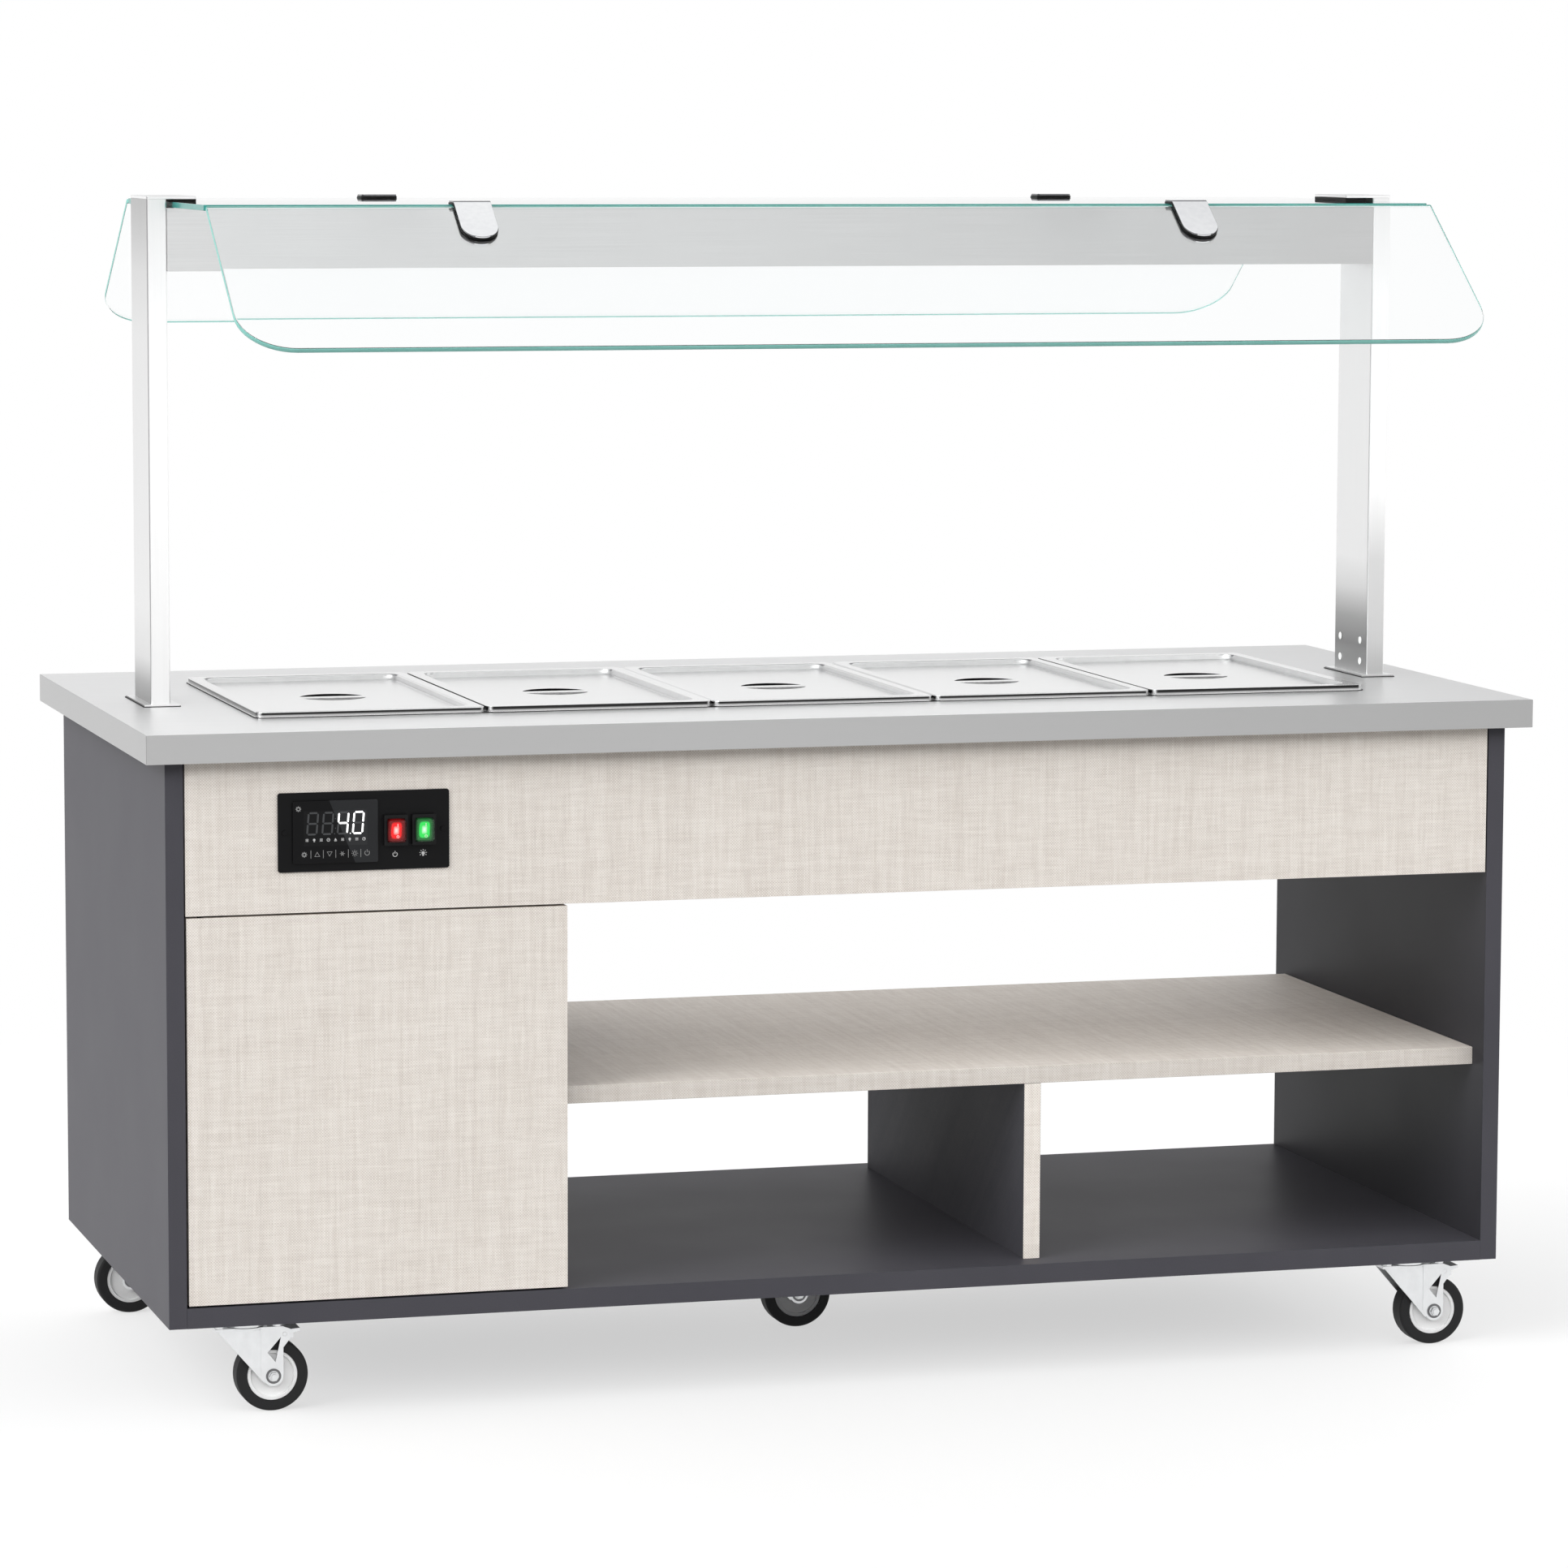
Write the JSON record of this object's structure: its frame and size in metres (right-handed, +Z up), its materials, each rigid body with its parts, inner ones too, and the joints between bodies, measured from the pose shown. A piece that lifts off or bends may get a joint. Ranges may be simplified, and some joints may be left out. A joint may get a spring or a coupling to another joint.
{
  "type": "hot buffet trolley",
  "caption": "Wheeled hot buffet counter with lidded gastronorm pans in a heated steel top, glass breath guard with light bar, open shelves and a cupboard.",
  "frame": {"origin": "middle of the footprint on the floor", "axes": "+X along the trolley to the right seen from the front, +Y to the back, +Z up"},
  "size_m": [2, 1.1296, 1.656],
  "materials": {
    "side_board": "anthracite melamine-faced board",
    "linen_board": "cream linen-weave laminate on board",
    "hidden_board": "bare board",
    "steel": "satin stainless steel",
    "heater": "heat-tinted tube",
    "clear_glass": "clear glass with green edges",
    "bright_metal": "polished chrome",
    "zinc": "bright zinc plate",
    "hub_plastic": "light grey moulded plastic",
    "tyre_rubber": "black rubber",
    "panel_black": "satin black",
    "screen_black": "gloss black front",
    "rocker_red": "lit red",
    "rocker_green": "lit green",
    "lamp": "opal diffuser"
  },
  "bodies": {
    "trolley": {"left_side_panel": "side_board", "right_side_panel": "side_board", "bottom_board": "side_board", "cabinet_wall": "side_board", "cabinet_back": "side_board", "middle_shelf": "linen_board", "lower_divider": "side_board", "ceiling_board": "hidden_board", "front_apron": "linen_board", "rear_apron": "linen_board", "countertop": "steel", "core_board": "hidden_board", "well_tank": "steel", "heating_elements": "heater", "left_post": "steel", "right_post": "steel", "post_caps": "steel", "light_housing": "steel", "led_batten": "lamp", "top_glass": "clear_glass", "front_glass": "clear_glass", "rear_glass": "clear_glass", "glass_clamps": "bright_metal", "control_plate": "panel_black", "temperature_controller": "screen_black", "rocker_frames": "panel_black", "caster_plates": "zinc", "door_pivots": "zinc", "power_inlet": "panel_black", "fasteners": "zinc"},
    "caster_front_left": {"fork_front_left": "zinc"},
    "wheel_front_left": {"hub_front_left": "hub_plastic", "tyre_front_left": "tyre_rubber"},
    "caster_front_right": {"fork_front_right": "zinc"},
    "wheel_front_right": {"hub_front_right": "hub_plastic", "tyre_front_right": "tyre_rubber"},
    "caster_rear_left": {"fork_rear_left": "zinc"},
    "wheel_rear_left": {"hub_rear_left": "hub_plastic", "tyre_rear_left": "tyre_rubber"},
    "caster_rear_right": {"fork_rear_right": "zinc"},
    "wheel_rear_right": {"hub_rear_right": "hub_plastic", "tyre_rear_right": "tyre_rubber"},
    "caster_centre": {"fork_centre": "zinc"},
    "wheel_centre": {"hub_centre": "hub_plastic", "tyre_centre": "tyre_rubber"},
    "brake_front_left": {"brake_pedal_front_left": "zinc"},
    "brake_front_right": {"brake_pedal_front_right": "zinc"},
    "door": {"door_panel": "linen_board"},
    "pan_1": {"pan_1": "steel"},
    "lid_1": {"lid_1": "steel"},
    "pan_2": {"pan_2": "steel"},
    "lid_2": {"lid_2": "steel"},
    "pan_3": {"pan_3": "steel"},
    "lid_3": {"lid_3": "steel"},
    "pan_4": {"pan_4": "steel"},
    "lid_4": {"lid_4": "steel"},
    "pan_5": {"pan_5": "steel"},
    "lid_5": {"lid_5": "steel"},
    "power_rocker": {"power_rocker": "rocker_red"},
    "light_rocker": {"light_rocker": "rocker_green"}
  },
  "joints": [
    {"name": "swivel_front_left", "type": "hinge", "parent": "trolley", "child": "caster_front_left", "pos_m": [-0.855, -0.358, 0.1], "axis": [0, 0, 1], "continuous": true},
    {"name": "roll_front_left", "type": "hinge", "parent": "caster_front_left", "child": "wheel_front_left", "pos_m": [-0.819, -0.358, 0.05], "axis": [0, 1, 0], "continuous": true},
    {"name": "swivel_front_right", "type": "hinge", "parent": "trolley", "child": "caster_front_right", "pos_m": [0.855, -0.358, 0.1], "axis": [0, 0, 1], "continuous": true},
    {"name": "roll_front_right", "type": "hinge", "parent": "caster_front_right", "child": "wheel_front_right", "pos_m": [0.891, -0.358, 0.05], "axis": [0, 1, 0], "continuous": true},
    {"name": "swivel_rear_left", "type": "hinge", "parent": "trolley", "child": "caster_rear_left", "pos_m": [-0.855, 0.358, 0.1], "axis": [0, 0, 1], "continuous": true},
    {"name": "roll_rear_left", "type": "hinge", "parent": "caster_rear_left", "child": "wheel_rear_left", "pos_m": [-0.891, 0.358, 0.05], "axis": [0, 1, 0], "continuous": true},
    {"name": "swivel_rear_right", "type": "hinge", "parent": "trolley", "child": "caster_rear_right", "pos_m": [0.855, 0.358, 0.1], "axis": [0, 0, 1], "continuous": true},
    {"name": "roll_rear_right", "type": "hinge", "parent": "caster_rear_right", "child": "wheel_rear_right", "pos_m": [0.891, 0.358, 0.05], "axis": [0, 1, 0], "continuous": true},
    {"name": "swivel_centre", "type": "hinge", "parent": "trolley", "child": "caster_centre", "pos_m": [0, 0, 0.1], "axis": [0, 0, 1], "continuous": true},
    {"name": "roll_centre", "type": "hinge", "parent": "caster_centre", "child": "wheel_centre", "pos_m": [0.036, 0, 0.05], "axis": [0, 1, 0], "continuous": true},
    {"name": "brake_front_left", "type": "hinge", "parent": "caster_front_left", "child": "brake_front_left", "pos_m": [-0.803, -0.358, 0.108], "axis": [0, 1, 0], "range_deg": [0, 12]},
    {"name": "brake_front_right", "type": "hinge", "parent": "caster_front_right", "child": "brake_front_right", "pos_m": [0.907, -0.358, 0.108], "axis": [0, 1, 0], "range_deg": [0, 12]},
    {"name": "door_hinge", "type": "hinge", "parent": "trolley", "child": "door", "pos_m": [-0.922, -0.4105, 0.4], "axis": [0, 0, -1], "range_deg": [0, 105]},
    {"name": "pan_1_lift", "type": "slide", "parent": "trolley", "child": "pan_1", "axis": [0, 0, 1], "range_m": [0, 0.25]},
    {"name": "lid_1_lift", "type": "slide", "parent": "pan_1", "child": "lid_1", "axis": [0, 0, 1], "range_m": [0, 0.2]},
    {"name": "pan_2_lift", "type": "slide", "parent": "trolley", "child": "pan_2", "axis": [0, 0, 1], "range_m": [0, 0.25]},
    {"name": "lid_2_lift", "type": "slide", "parent": "pan_2", "child": "lid_2", "axis": [0, 0, 1], "range_m": [0, 0.2]},
    {"name": "pan_3_lift", "type": "slide", "parent": "trolley", "child": "pan_3", "axis": [0, 0, 1], "range_m": [0, 0.25]},
    {"name": "lid_3_lift", "type": "slide", "parent": "pan_3", "child": "lid_3", "axis": [0, 0, 1], "range_m": [0, 0.2]},
    {"name": "pan_4_lift", "type": "slide", "parent": "trolley", "child": "pan_4", "axis": [0, 0, 1], "range_m": [0, 0.25]},
    {"name": "lid_4_lift", "type": "slide", "parent": "pan_4", "child": "lid_4", "axis": [0, 0, 1], "range_m": [0, 0.2]},
    {"name": "pan_5_lift", "type": "slide", "parent": "trolley", "child": "pan_5", "axis": [0, 0, 1], "range_m": [0, 0.25]},
    {"name": "lid_5_lift", "type": "slide", "parent": "pan_5", "child": "lid_5", "axis": [0, 0, 1], "range_m": [0, 0.2]},
    {"name": "power_rocker_tilt", "type": "hinge", "parent": "trolley", "child": "power_rocker", "pos_m": [-0.655, -0.425, 0.805], "axis": [1, 0, 0], "range_deg": [-16, 0]},
    {"name": "light_rocker_tilt", "type": "hinge", "parent": "trolley", "child": "light_rocker", "pos_m": [-0.616, -0.425, 0.805], "axis": [1, 0, 0], "range_deg": [-16, 0]}
  ]
}
